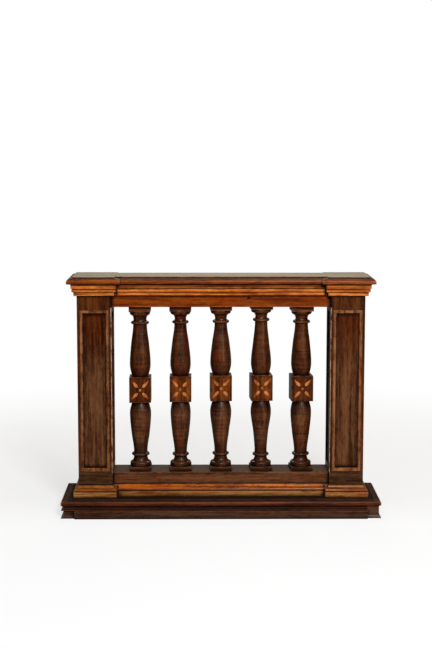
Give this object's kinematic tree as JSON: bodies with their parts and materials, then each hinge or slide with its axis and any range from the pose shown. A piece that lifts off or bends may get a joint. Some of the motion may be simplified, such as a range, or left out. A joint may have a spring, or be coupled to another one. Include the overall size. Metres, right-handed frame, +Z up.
{
  "type": "wooden balustrade",
  "caption": "Wooden balustrade with panelled posts, a moulded cap rail, a base rail on a moulded plinth, and turned balusters with inlaid square blocks.",
  "frame": {"origin": "on the floor under the middle of the plinth", "axes": "+X along the rail, -Y out of the front, +Z up"},
  "size_m": [1.17, 0.316, 0.88],
  "materials": {
    "dark_walnut": "old dark walnut with waxed polish",
    "turned_walnut": "turned dark walnut with glossy polish",
    "moulding_walnut": "warm polished walnut moulding",
    "rail_walnut": "reddish polished walnut",
    "cap_walnut": "worn polished walnut",
    "plinth_walnut": "reddish brown worn walnut",
    "light_inlay": "light wood inlay under polish"
  },
  "bodies": {
    "root": {"plinth_core": "dark_walnut", "plinth_platform": "plinth_walnut", "plinth_nosing_front": "plinth_walnut", "plinth_moulding_front": "plinth_walnut", "plinth_skirt_front": "dark_walnut", "plinth_nosing_back": "plinth_walnut", "plinth_moulding_back": "plinth_walnut", "plinth_skirt_back": "dark_walnut", "plinth_nosing_left": "plinth_walnut", "plinth_moulding_left": "plinth_walnut", "plinth_nosing_right": "plinth_walnut", "plinth_moulding_right": "plinth_walnut", "post_left_case": "dark_walnut", "post_left_beads": "moulding_walnut", "post_left_base": "moulding_walnut", "post_left_cap": "moulding_walnut", "cap_board_left": "cap_walnut", "post_right_case": "dark_walnut", "post_right_beads": "moulding_walnut", "post_right_base": "moulding_walnut", "post_right_cap": "moulding_walnut", "cap_board_right": "cap_walnut", "base_rail": "dark_walnut", "base_rail_moulding_front": "moulding_walnut", "base_rail_moulding_back": "moulding_walnut", "top_rail": "rail_walnut", "top_rail_moulding_front": "moulding_walnut", "top_rail_moulding_back": "moulding_walnut", "cap_board_middle": "cap_walnut", "baluster_1": "turned_walnut", "baluster_1_inlay": "light_inlay", "baluster_2": "turned_walnut", "baluster_2_inlay": "light_inlay", "baluster_3": "turned_walnut", "baluster_3_inlay": "light_inlay", "baluster_4": "turned_walnut", "baluster_4_inlay": "light_inlay", "baluster_5": "turned_walnut", "baluster_5_inlay": "light_inlay"}
  },
  "joints": []
}
